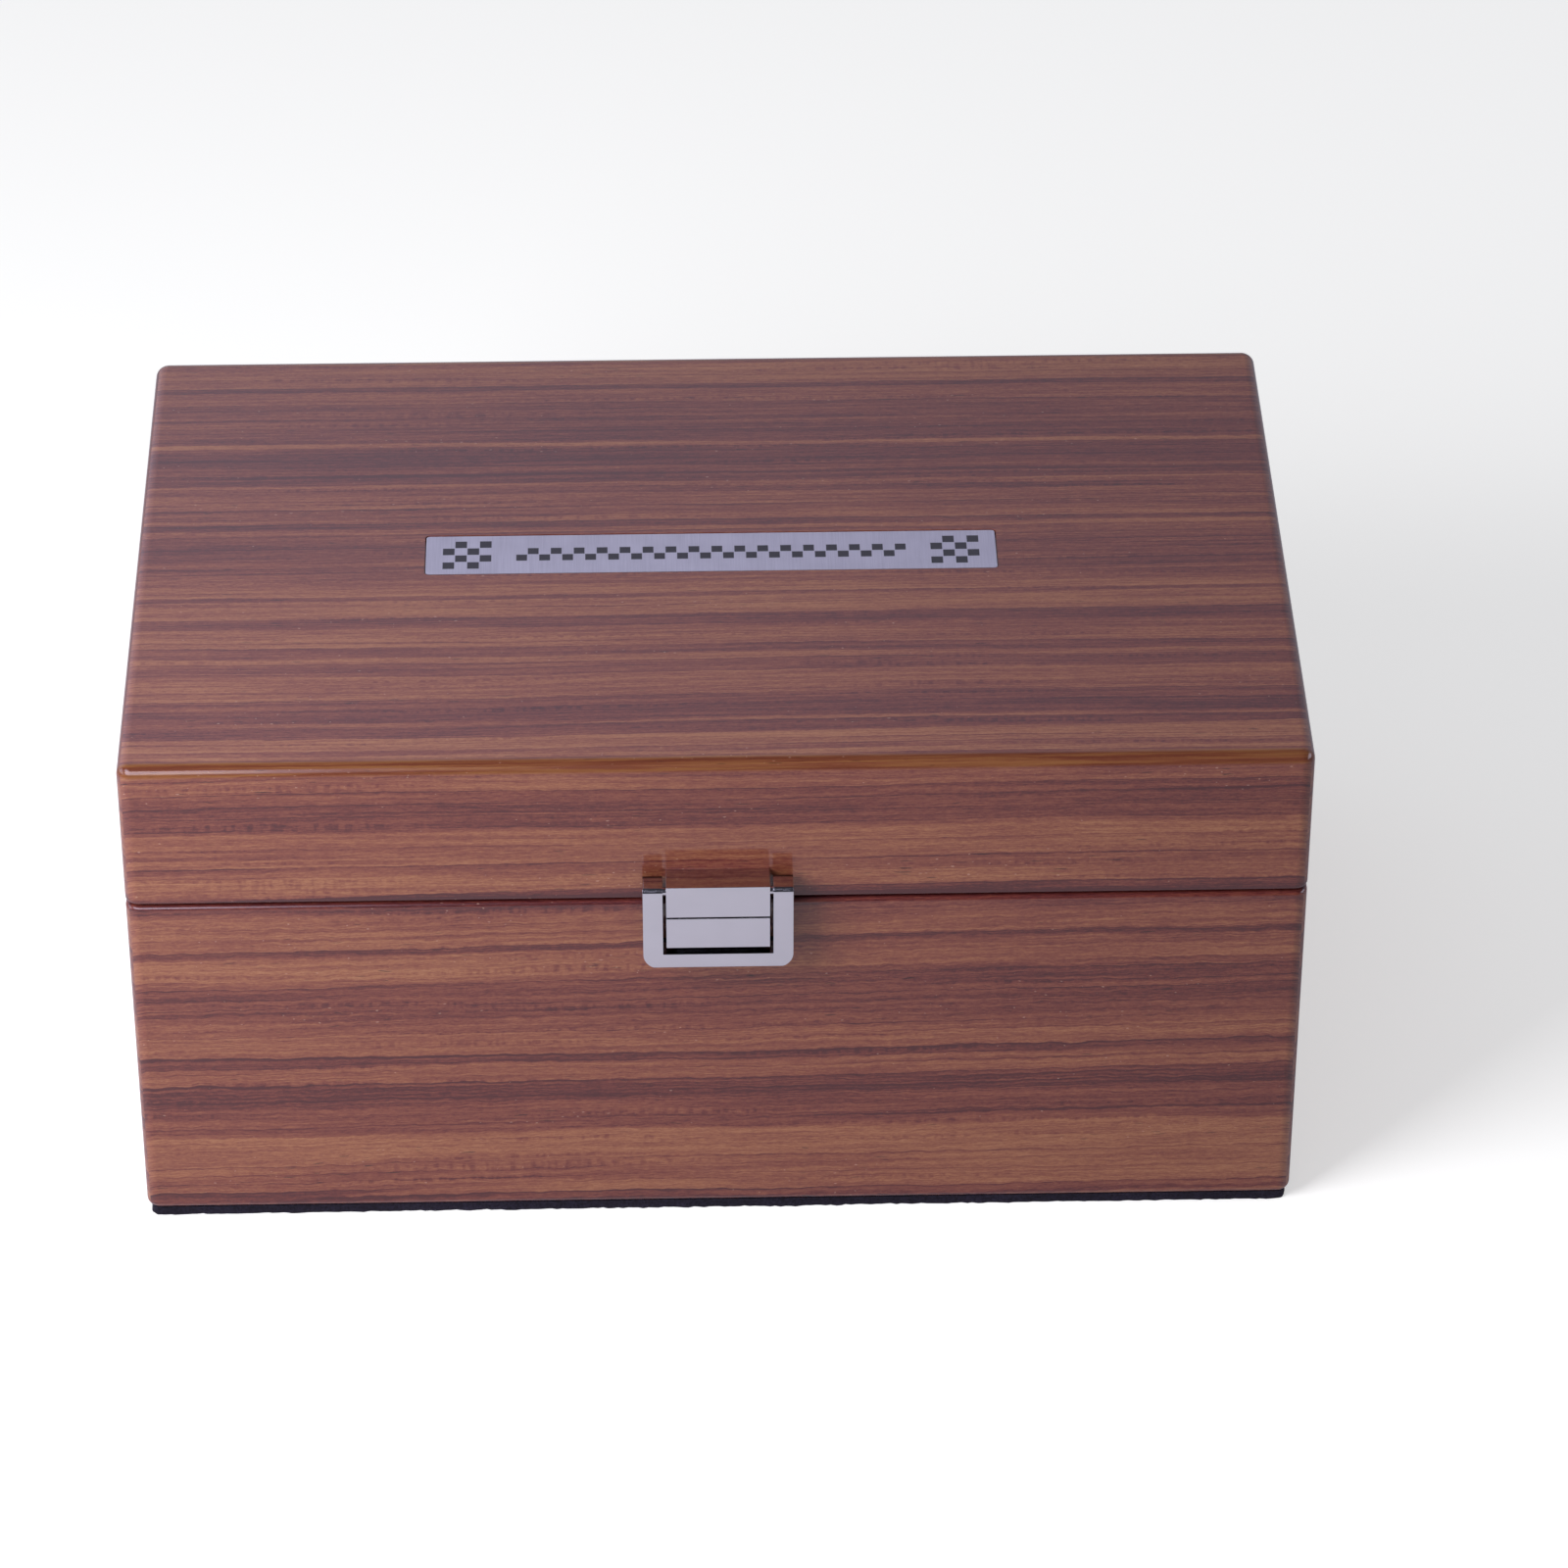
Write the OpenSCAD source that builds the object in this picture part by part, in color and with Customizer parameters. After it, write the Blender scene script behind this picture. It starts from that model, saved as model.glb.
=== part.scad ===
// Chess box with a hinged lid, millimetres.
// The origin is the centre of the felt's underside. The front faces -Y and +Z is up.

/* [Box] */
// Width of the box, left to right
box_w = 280; // [220:1:380]
// Depth of the box, front to back
box_d = 178; // [130:1:260]
// Height of the base's wooden walls
base_h = 92.5; // [60:0.5:150]
// Height of the lid
lid_h = 39.5; // [34:0.5:70]
// Thickness of the walls and of the lid's top
wall_t = 9; // [8:0.5:12]
// Gap between the base and the closed lid
seam_gap = 0.5; // [0.4:0.1:1]
// Radius of the polished edges round the lid's top
edge_r = 3; // [2:0.5:5]
// How much rounder the upright corners are than those edges
corner_more = 0.3; // [0.2:0.1:1]
// Radius of the base's lower edge
foot_r = 2; // [1:0.5:3]
// Radius of the two edges that meet at the seam
seam_r = 1.2; // [0.4:0.1:1.4]

/* [Base] */
// Thickness of the bottom panel
bottom_t = 6; // [4:0.5:9]
// Reach of the bottom panel into the rebate of the walls
rebate = 4; // [2:0.5:6]
// Thickness of the felt under the base
felt_t = 2.5; // [1.5:0.5:4]
// Distance of the felt's edge inside the outline of the box
felt_inset = 1; // [0.5:0.5:3]

/* [Lining] */
// Thickness of the cloth-covered lining panels
lining_t = 2.5; // [2:0.5:4]
// Rise of the base's lining above its rim, where the lid lands
lining_rise = 0.35; // [0.2:0.05:0.35]
// Thickness of the padded panel inside the lid's top
lid_pad_t = 5; // [3:0.5:8]
// Thickness of the divider between the two compartments
divider_t = 6; // [4:0.5:10]
// Distance of the divider's top below the rim
divider_drop = 14; // [5:1:30]
// Depth of the slots in the lining that hold the divider
divider_slot = 1.2; // [0.5:0.1:1.5]

/* [Plaque] */
// Length of the metal plaque in the lid's top
plaque_w = 139; // [120:1:180]
// Width of the plaque, front to back
plaque_d = 16.4; // [14:0.2:24]
// Thickness of the plaque
plaque_t = 1; // [0.8:0.1:2]
// Radius of the plaque's corners
plaque_r = 0.8; // [0.4:0.1:2]
// Gap between the plaque and its recess
plaque_gap = 0.3; // [0.1:0.1:0.6]
// Distance of the plaque's middle ahead of the lid's middle
plaque_ahead = 1; // [0:0.5:10]
// Depth of the plaque's face below the lid's top
plaque_sink = 0.1; // [0:0.05:0.3]
// Depth of the dark enamel in the plaque
enamel_depth = 0.3; // [0.1:0.05:0.5]
// Pitch of the squares in the two small chequer boards
board_pitch = 3; // [2:0.1:3.2]
// Pitch of the squares in the chequered band
band_pitch = 2.8; // [2:0.1:3.2]
// Squares along the chequered band
band_count = 34; // [10:2:36]
// Distance from the plaque's end to the middle of a small board
board_inset = 10; // [8:0.5:12]

/* [Latch] */
// Width of the latch lever
lever_w = 35.5; // [30:0.5:50]
// Distance that the latch stands proud of the box
latch_proud = 7.5; // [6.5:0.1:9]
// Width of each arm of the lever
arm_w = 4.7; // [3.5:0.1:6]
// Gap between an arm and the blocks
arm_gap = 0.8; // [0.4:0.1:1.5]
// Clearance between the lever and the wood behind it
lever_clear = 0.85; // [0.6:0.05:1.2]
// Height of the lever's top above the seam
lever_top = 8.5; // [8.1:0.1:8.7]
// Distance from the seam down to the lever's lower edge
lever_drop = 14.8; // [13.9:0.1:19]
// Height of the lever's finger bar
bar_h = 4.3; // [3:0.1:4.4]
// Radius of the lever's lower corners
lever_r = 4.2; // [1:0.1:4.3]
// Radius of the arms' upper edges at the front
arm_r = 1.3; // [1:0.1:1.8]
// Radius of the arms' upper edges at the back, where they turn past the wood
arm_back_r = 1.6; // [1.5:0.1:2.4]
// Height of the lid block above the seam
lid_block_rise = 9.1; // [8:0.1:12]
// Distance from the seam down to the base block's lower edge
base_block_drop = 8.6; // [7.8:0.1:8.9]
// Width of the split between the two blocks
split_gap = 0.4; // [0.3:0.1:0.6]
// Height of the middle of the split above the seam
split_rise = 0.2; // [0.1:0.05:0.3]
// Height of the lever's pivot above the seam
pivot_rise = 5.4; // [5.3:0.1:5.7]
// Radius of the lever's pivot pins
pivot_r = 1; // [0.8:0.1:1.2]
// Clearance under the base block for the lever's hook
hook_gap = 0.6; // [0.5:0.05:0.8]
// Length of the hook along the bar
hook_w = 20; // [10:1:24]

/* [Hinges] */
// Distance from the side of the box to the middle of a hinge
hinge_inset = 45; // [30:1:80]
// Length of a hinge
hinge_w = 32; // [24:1:50]
// Height of a leaf from the pin's axis
leaf_h = 16; // [12:0.5:24]
// Thickness of a leaf
leaf_t = 1.2; // [1:0.1:1.5]
// Radius of the hinge barrel
barrel_r = 2.5; // [2.2:0.1:3]
// Radius of the hinge pin
pin_r = 1; // [0.8:0.1:1.2]
// Clearance of a pin in the part that turns on it
pin_clear = 0.05; // [0.02:0.01:0.09]
// Gap between two knuckles, and between a leaf and a barrel
knuckle_gap = 0.2; // [0.1:0.05:0.4]
// Angle at which the stop lug halts the lid, in degrees
lid_open = 95; // [90:1:110]
// Reach of the stop lug from the pin's axis
lug_reach = 5.2; // [4.5:0.1:6]
// Thickness of the stop lug
lug_t = 1.4; // [1:0.1:2]

/* [Screws] */
// Shank radius of the hinge screws
hinge_screw_r = 1; // [0.8:0.1:1.2]
// Head radius of the hinge screws
hinge_head_r = 2.1; // [1.8:0.1:2.4]
// Length of the hinge screws
hinge_screw_l = 7; // [5:0.5:8]
// Distance between the two screws of a leaf
hinge_screw_gap = 20; // [14:1:24]
// Shank radius of the latch screws
latch_screw_r = 1.25; // [1:0.05:1.4]
// Head radius of the latch screws
latch_head_r = 2.4; // [2:0.1:2.8]
// Head height of the latch screws
latch_head_t = 1.3; // [1:0.1:1.6]
// Length of thread that the latch screws have in a block
latch_grip = 5; // [4:0.5:5.5]
// Distance between the two screws of the lid block
lid_screw_gap = 8; // [7:0.5:9]
// Distance between the two screws of the base block
base_screw_gap = 14; // [8:0.5:16]

/* [Hidden] */
$fn = 64;

WOOD = [0.51, 0.33, 0.29];
FELT = [0.07, 0.07, 0.1];
CLOTH = [0.13, 0.15, 0.2];
CHROME = [0.75, 0.74, 0.78];
METAL = [0.68, 0.67, 0.73];
ENAMEL = [0.16, 0.16, 0.2];
BRASS = [0.72, 0.58, 0.33];

// Overlap of a cutting solid past the face that it cuts
cut = 1;
// Distance of a latch screw's head below the inside of the wall
latch_recess = 0.2;
// Clearance round a latch screw's head
head_clear = 0.3;
// Depth left past the end of a screw
tip_clear = 0.4;
// Width of bright metal left between the corners of two dark squares
enamel_line = 0.16;
// Squares along each side of a small board
board_count = 4;
// Reach of a pivot pin into the lid block
pivot_hold = 5;
// Radius of the outer corner at the tip of an arm
arm_tip_r = 0.3;
// Radius of the finger bar's lower edges
bar_r = 0.8;
// Clearance between the stop lug and the base leaf when the lid is fully open
stop_gap = 0.03;

corner_r = edge_r + corner_more;
base_top = felt_t + base_h;
lid_low = base_top + seam_gap;
lid_high = lid_low + lid_h;
seam_z = base_top + seam_gap / 2;
front_y = -box_d / 2;
back_y = box_d / 2;
inner_w = box_w - 2 * wall_t;
inner_d = box_d - 2 * wall_t;

floor_z = felt_t + bottom_t;
lining_z = floor_z + lining_t;
lining_top = base_top + lining_rise;
lid_ceiling = lid_high - wall_t;
room_w = inner_w - 2 * lining_t;
room_d = inner_d - 2 * lining_t;

plaque_top = lid_high - plaque_sink;
recess_z = plaque_top - plaque_t;

block_w = lever_w - 2 * (arm_w + arm_gap);
split_z = seam_z + split_rise;
pivot_y = front_y - latch_proud / 2;
pivot_z = seam_z + pivot_rise;
latch_back_y = front_y - lever_clear;
bar_top = seam_z - lever_drop + bar_h;
hook_top = seam_z - base_block_drop - hook_gap;
hook_t = latch_proud / 4;
base_screw_z = (split_z - split_gap / 2 + seam_z - base_block_drop) / 2;

axis_y = back_y + barrel_r;
knuckle_w = (hinge_w - 2 * knuckle_gap) / 3;
leaf_near = barrel_r + knuckle_gap;
leaf_screw_z = (leaf_h + leaf_near) / 2;

// Upright rectangle about x = 0 whose lower and upper corners are rounded
module rounded_end(half, low, high, r_low, r_high) {
  translate([-half, low + r_low])
    square([2 * half, high - low - r_low - r_high]);
  if (half > r_low)
    translate([r_low - half, low])
      square([2 * (half - r_low), high - low - r_high]);
  if (half > r_high)
    translate([r_high - half, low + r_low])
      square([2 * (half - r_high), high - low - r_low]);
  for (side = [-1, 1]) {
    translate([side * (half - r_low), low + r_low])
      circle(r_low);
    translate([side * (half - r_high), high - r_high])
      circle(r_high);
  }
}

// Rectangle about the origin with four corners of one radius
module rounded_plate(w, d, r) {
  square([w, d - 2 * r], center = true);
  square([w - 2 * r, d], center = true);
  for (x = [-1, 1], y = [-1, 1])
    translate([x * (w / 2 - r), y * (d / 2 - r)])
      circle(r);
}

// Outline in Y and Z, drawn along X
module along_x(run) {
  rotate([90, 0, 90])
    linear_extrude(run, center = true)
      children();
}

// Outline in X and Z, drawn along Y
module along_y(run) {
  rotate([90, 0, 0])
    linear_extrude(run, center = true)
      children();
}

// Post at an upright corner of the box, round all over its outside
module corner_post(low, high, r_low, r_high) {
  rotate_extrude()
    intersection() {
      rounded_end(corner_r, low, high, r_low, r_high);
      translate([0, low])
        square([corner_r, high - low]);
    }
}

// Solid outline of a wall that faces -Y, round at its ends; run is its length, reach its distance
module wall_outline(run, reach, low, high, r_low, r_high) {
  along_x(run - 2 * corner_r)
    rounded_end(reach, low, high, r_low, r_high);
  for (side = [-1, 1])
    translate([side * (run / 2 - corner_r), corner_r - reach])
      corner_post(low, high, r_low, r_high);
}

// Solid outline of the whole lid
module lid_outline() {
  wall_outline(box_w, box_d / 2, lid_low, lid_high, seam_r, edge_r);
  along_y(box_d - 2 * corner_r)
    rounded_end(box_w / 2, lid_low, lid_high, seam_r, edge_r);
  for (side = [-1, 1])
    translate([side * (box_w / 2 - corner_r), box_d / 2 - corner_r])
      corner_post(lid_low, lid_high, seam_r, edge_r);
}

// Space of a wall that faces -Y, mitred at both ends
module wall_space(run, reach, low, high) {
  translate([0, 0, low])
    linear_extrude(high - low)
      polygon([
        [-run / 2, -reach],
        [run / 2, -reach],
        [run / 2 - wall_t, wall_t - reach],
        [wall_t - run / 2, wall_t - reach]
      ]);
}

// Board of the base, cut to the mitres and rebated for the bottom panel
module base_board(turn, run, reach) {
  difference() {
    rotate(turn)
      intersection() {
        wall_outline(run, reach, felt_t, base_top, foot_r, seam_r);
        wall_space(run, reach, felt_t, base_top);
      }
    translate([0, 0, floor_z - (bottom_t + cut) / 2])
      cube([inner_w + 2 * rebate, inner_d + 2 * rebate, bottom_t + cut], center = true);
  }
}

// Board of the lid, mitred at its ends and along its top
module lid_board(turn, run, reach) {
  rotate(turn)
    intersection() {
      wall_outline(run, reach, lid_low, lid_high, seam_r, edge_r);
      wall_space(run, reach, lid_low, lid_high);
      along_x(run)
        polygon([
          [-reach, lid_low],
          [wall_t - reach, lid_low],
          [wall_t - reach, lid_ceiling],
          [-reach, lid_high]
        ]);
    }
}

// Latch screw at the origin: its head faces +Y and its shank runs to -Y
module latch_screw() {
  shank_l = wall_t - latch_head_t - latch_recess + latch_grip;
  rotate([90, 0, 0]) {
    difference() {
      cylinder(h = latch_head_t, r = latch_head_r);
      screw_cross(latch_head_r, latch_head_t / 2);
    }
    translate([0, 0, latch_head_t])
      cylinder(h = shank_l, r = latch_screw_r);
  }
}

// Cross slot in a screw head that lies at z = 0 and faces -Z
module screw_cross(head_r, depth) {
  slot_w = head_r / 4;
  for (turn = [0, 90])
    rotate(turn)
      translate([0, 0, depth / 2 - cut / 2])
        cube([head_r * 1.3, slot_w, depth + cut], center = true);
}

// Hole through the front wall for a latch screw, with the recess of its head
module latch_screw_hole() {
  rotate([90, 0, 0]) {
    translate([0, 0, -cut])
      cylinder(h = cut + latch_recess + latch_head_t, r = latch_head_r + head_clear);
    cylinder(h = wall_t + cut, r = latch_screw_r);
  }
}

// Places of the latch screws on the inside of the front wall
module at_lid_screws() {
  for (side = [-1, 1])
    translate([side * lid_screw_gap / 2, front_y + wall_t, pivot_z])
      children();
}

module at_base_screws() {
  for (side = [-1, 1])
    translate([side * base_screw_gap / 2, front_y + wall_t, base_screw_z])
      children();
}

// Countersunk hinge screw at the origin: its head faces +Y and its shank runs to -Y
module hinge_screw() {
  rotate([90, 0, 0])
    difference() {
      union() {
        cylinder(h = leaf_t, r1 = hinge_head_r, r2 = hinge_screw_r);
        cylinder(h = hinge_screw_l, r = hinge_screw_r);
      }
      screw_cross(hinge_head_r, leaf_t / 2);
    }
}

// Pilot hole of a hinge screw in the wood
module hinge_pilot() {
  rotate([90, 0, 0])
    cylinder(h = hinge_screw_l + tip_clear, r = hinge_screw_r);
}

// Places of the hinges, and of the screws in one leaf; up is 1 for a lid leaf and -1 for a base leaf
module at_hinges() {
  for (side = [-1, 1])
    at_hinge(side)
      children();
}

module at_hinge(side) {
  translate([side * (box_w / 2 - hinge_inset), axis_y, seam_z])
    children();
}

module at_leaf_screws(up) {
  for (side = [-1, 1])
    translate([side * hinge_screw_gap / 2, leaf_t - barrel_r, up * leaf_screw_z])
      children();
}

module base_front() {
  color(WOOD)
    difference() {
      base_board(0, box_w, box_d / 2);
      at_base_screws()
        latch_screw_hole();
    }
}

module base_back() {
  color(WOOD)
    difference() {
      base_board(180, box_w, box_d / 2);
      at_hinges()
        at_leaf_screws(-1)
          hinge_pilot();
    }
}

module base_left() {
  color(WOOD)
    base_board(-90, box_d, box_w / 2);
}

module base_right() {
  color(WOOD)
    base_board(90, box_d, box_w / 2);
}

module base_bottom() {
  color(WOOD)
    translate([0, 0, felt_t + bottom_t / 2])
      cube([inner_w + 2 * rebate, inner_d + 2 * rebate, bottom_t], center = true);
}

module base_felt() {
  color(FELT)
    linear_extrude(felt_t)
      rounded_plate(box_w - 2 * felt_inset, box_d - 2 * felt_inset, corner_r - felt_inset);
}

module base_floor_lining() {
  color(CLOTH)
    translate([0, 0, floor_z + lining_t / 2])
      cube([inner_w, inner_d, lining_t], center = true);
}

// Lining of the base's front wall, with the slot that holds the divider
module base_long_lining() {
  difference() {
    translate([-inner_w / 2, -inner_d / 2, lining_z])
      cube([inner_w, lining_t, lining_top - lining_z]);
    translate([-divider_t / 2, lining_t - divider_slot - inner_d / 2, lining_z - cut])
      cube([divider_t, divider_slot + cut, lining_top - lining_z + 2 * cut]);
  }
}

module base_front_lining() {
  color(CLOTH)
    base_long_lining();
}

module base_back_lining() {
  color(CLOTH)
    rotate(180)
      base_long_lining();
}

module base_left_lining() {
  color(CLOTH)
    translate([-inner_w / 2, -room_d / 2, lining_z])
      cube([lining_t, room_d, lining_top - lining_z]);
}

module base_right_lining() {
  color(CLOTH)
    rotate(180)
      translate([-inner_w / 2, -room_d / 2, lining_z])
        cube([lining_t, room_d, lining_top - lining_z]);
}

module divider() {
  color(WOOD)
    translate([-divider_t / 2, -room_d / 2 - divider_slot, lining_z])
      cube([divider_t, room_d + 2 * divider_slot, base_top - divider_drop - lining_z]);
}

module lid_top() {
  color(WOOD)
    difference() {
      intersection() {
        lid_outline();
        along_x(box_w)
          top_slope(box_d / 2);
        along_y(box_d)
          top_slope(box_w / 2);
      }
      translate([0, -plaque_ahead, recess_z])
        linear_extrude(plaque_t + plaque_sink + cut)
          rounded_plate(
            plaque_w + 2 * plaque_gap, plaque_d + 2 * plaque_gap, plaque_r + plaque_gap
          );
    }
}

// Section of the lid's top board between its two mitres
module top_slope(half) {
  polygon([
    [-half, lid_high],
    [half, lid_high],
    [half - wall_t, lid_ceiling],
    [wall_t - half, lid_ceiling]
  ]);
}

module lid_front() {
  color(WOOD)
    difference() {
      lid_board(0, box_w, box_d / 2);
      at_lid_screws()
        latch_screw_hole();
    }
}

module lid_back() {
  color(WOOD)
    difference() {
      lid_board(180, box_w, box_d / 2);
      at_hinges()
        at_leaf_screws(1)
          hinge_pilot();
    }
}

module lid_left() {
  color(WOOD)
    lid_board(-90, box_d, box_w / 2);
}

module lid_right() {
  color(WOOD)
    lid_board(90, box_d, box_w / 2);
}

module lid_pad() {
  color(CLOTH)
    translate([0, 0, lid_ceiling - lid_pad_t / 2])
      cube([room_w, room_d, lid_pad_t], center = true);
}

// Lining of one wall of the lid that faces -Y at the given distance
module lid_lining(run, reach) {
  translate([-run / 2, -reach, lid_low])
    cube([run, lining_t, lid_ceiling - lid_low]);
}

module lid_front_lining() {
  color(CLOTH)
    lid_lining(inner_w, inner_d / 2);
}

module lid_back_lining() {
  color(CLOTH)
    rotate(180)
      lid_lining(inner_w, inner_d / 2);
}

module lid_left_lining() {
  color(CLOTH)
    rotate(-90)
      lid_lining(room_d, inner_w / 2);
}

module lid_right_lining() {
  color(CLOTH)
    rotate(90)
      lid_lining(room_d, inner_w / 2);
}

// Dark squares of a chequer pattern about the origin
module chequers(columns, rows, pitch) {
  square_w = pitch - enamel_line;
  for (i = [0 : columns - 1], j = [0 : rows - 1])
    if ((i + j) % 2 == 0)
      translate([(i - (columns - 1) / 2) * pitch, (j - (rows - 1) / 2) * pitch])
        square(square_w, center = true);
}

// Ornament of the plaque: a band of chequers between two small boards
module ornament() {
  chequers(band_count, 2, band_pitch);
  for (side = [-1, 1])
    translate([side * (plaque_w / 2 - board_inset), 0])
      chequers(board_count, board_count, board_pitch);
}

module plaque() {
  color(METAL)
    difference() {
      translate([0, -plaque_ahead, recess_z])
        linear_extrude(plaque_t)
          rounded_plate(plaque_w, plaque_d, plaque_r);
      translate([0, -plaque_ahead, plaque_top - enamel_depth])
        linear_extrude(enamel_depth + cut)
          ornament();
    }
}

module plaque_enamel() {
  color(ENAMEL)
    translate([0, -plaque_ahead, plaque_top - enamel_depth])
      linear_extrude(enamel_depth)
        ornament();
}

// Block of the latch between two heights, flat against the front of the box
module latch_block(low, high) {
  translate([-block_w / 2, front_y - latch_proud, low])
    cube([block_w, latch_proud, high - low]);
}

// Blind hole in a block for the end of a latch screw
module block_screw_hole() {
  rotate([90, 0, 0])
    cylinder(h = wall_t + latch_grip + tip_clear, r = latch_screw_r);
}

module latch_lid_block() {
  color(CHROME)
    difference() {
      latch_block(split_z + split_gap / 2, seam_z + lid_block_rise);
      at_lid_screws()
        block_screw_hole();
      pivot_pins(pivot_r, 0);
    }
}

module latch_base_block() {
  color(CHROME)
    difference() {
      latch_block(seam_z - base_block_drop, split_z - split_gap / 2);
      at_base_screws()
        block_screw_hole();
    }
}

// Two stub pins, which run out past the lever's arms by the given length
module pivot_pins(r, past) {
  pin_l = pivot_hold + arm_gap + arm_w + past;
  for (side = [-1, 1])
    translate([side * (block_w / 2 - pivot_hold + pin_l / 2), pivot_y, pivot_z])
      rotate([0, 90, 0])
        cylinder(h = pin_l, r = r, center = true);
}

module latch_pivot_pins() {
  color(CHROME)
    pivot_pins(pivot_r, 0);
}

// Front outline of the lever, open at its top
module lever_outline() {
  difference() {
    rounded_end(
      lever_w / 2, seam_z - lever_drop, seam_z + lever_top, lever_r, arm_tip_r
    );
    translate([-lever_w / 2 + arm_w, bar_top])
      square([lever_w - 2 * arm_w, lever_drop + lever_top]);
  }
}

// Side outline of the lever, roundest where it turns past the wood
module lever_side() {
  depth = latch_proud - lever_clear;
  low = seam_z - lever_drop;
  high = seam_z + lever_top;
  intersection() {
    translate([latch_back_y - depth / 2, 0])
      rounded_end(depth / 2, low, high, bar_r, arm_r);
    translate([latch_back_y - depth, 0])
      rounded_end(depth, low, high, bar_r, arm_back_r);
  }
}

module latch_lever() {
  color(CHROME)
    difference() {
      union() {
        intersection() {
          translate([0, front_y - latch_proud / 2, 0])
            along_y(2 * latch_proud)
              lever_outline();
          along_x(lever_w + 2 * cut)
            lever_side();
        }
        translate([-hook_w / 2, latch_back_y - hook_t, bar_top - bar_h / 2])
          cube([hook_w, hook_t, hook_top - bar_top + bar_h / 2]);
      }
      pivot_pins(pivot_r + pin_clear, cut);
    }
}

module latch_lid_screws() {
  color(CHROME)
    at_lid_screws()
      translate([0, -latch_recess, 0])
        latch_screw();
}

module latch_base_screws() {
  color(CHROME)
    at_base_screws()
      translate([0, -latch_recess, 0])
        latch_screw();
}

// Knuckle of a hinge about the pin's axis, with the leaf's stem beside it; up is 1 for the lid
module knuckle(up, w) {
  rotate([0, 90, 0])
    cylinder(h = w, r = barrel_r, center = true);
  translate([-w / 2, -barrel_r, up > 0 ? 0 : -leaf_near - cut])
    cube([w, leaf_t, leaf_near + cut]);
}

// Plate of a leaf with its two countersunk holes
module leaf_plate(up) {
  difference() {
    translate([-hinge_w / 2, -barrel_r, up > 0 ? leaf_near : -leaf_h])
      cube([hinge_w, leaf_t, leaf_h - leaf_near]);
    at_leaf_screws(up)
      rotate([90, 0, 0]) {
        cylinder(h = leaf_t, r1 = hinge_head_r, r2 = hinge_screw_r);
        translate([0, 0, -cut])
          cylinder(h = leaf_t + 2 * cut, r = hinge_screw_r);
      }
  }
}

// Leaf on the base: two outer knuckles, tight on the pin
module base_leaf() {
  difference() {
    union() {
      leaf_plate(-1);
      for (side = [-1, 1])
        translate([side * (knuckle_w + knuckle_gap), 0, 0])
          knuckle(-1, knuckle_w);
    }
    rotate([0, 90, 0])
      cylinder(h = hinge_w + 2 * cut, r = pin_r, center = true);
  }
}

// Leaf on the lid: one middle knuckle that turns on the pin, and its stop lug
module lid_leaf() {
  difference() {
    union() {
      leaf_plate(1);
      knuckle(1, knuckle_w);
      rotate([lid_open, 0, 0])
        translate([-knuckle_w / 2, leaf_t - barrel_r + stop_gap, -lug_reach])
          cube([knuckle_w, lug_t, lug_reach - pin_r]);
    }
    rotate([0, 90, 0])
      cylinder(h = hinge_w + 2 * cut, r = pin_r + pin_clear, center = true);
  }
}

module hinge_pin() {
  rotate([0, 90, 0])
    cylinder(h = hinge_w, r = pin_r, center = true);
}

module hinge_left_base_leaf() {
  color(BRASS)
    at_hinge(-1)
      base_leaf();
}

module hinge_left_lid_leaf() {
  color(BRASS)
    at_hinge(-1)
      lid_leaf();
}

module hinge_left_pin() {
  color(BRASS)
    at_hinge(-1)
      hinge_pin();
}

module hinge_right_base_leaf() {
  color(BRASS)
    at_hinge(1)
      base_leaf();
}

module hinge_right_lid_leaf() {
  color(BRASS)
    at_hinge(1)
      lid_leaf();
}

module hinge_right_pin() {
  color(BRASS)
    at_hinge(1)
      hinge_pin();
}

module hinge_base_screws() {
  color(BRASS)
    at_hinges()
      at_leaf_screws(-1)
        hinge_screw();
}

module hinge_lid_screws() {
  color(BRASS)
    at_hinges()
      at_leaf_screws(1)
        hinge_screw();
}

base_front();
base_back();
base_left();
base_right();
base_bottom();
base_felt();
base_floor_lining();
base_front_lining();
base_back_lining();
base_left_lining();
base_right_lining();
divider();
lid_top();
lid_front();
lid_back();
lid_left();
lid_right();
lid_pad();
lid_front_lining();
lid_back_lining();
lid_left_lining();
lid_right_lining();
plaque();
plaque_enamel();
latch_lid_block();
latch_base_block();
latch_lever();
latch_pivot_pins();
latch_lid_screws();
latch_base_screws();
hinge_left_base_leaf();
hinge_left_lid_leaf();
hinge_left_pin();
hinge_right_base_leaf();
hinge_right_lid_leaf();
hinge_right_pin();
hinge_base_screws();
hinge_lid_screws();
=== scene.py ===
"""Looks of a veneered chess box with a hinged lid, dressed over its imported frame.

Lengths are in metres, and the box's front faces -Y."""
import math

import bmesh
import bpy
from mathutils import Matrix, Vector, noise


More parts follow.
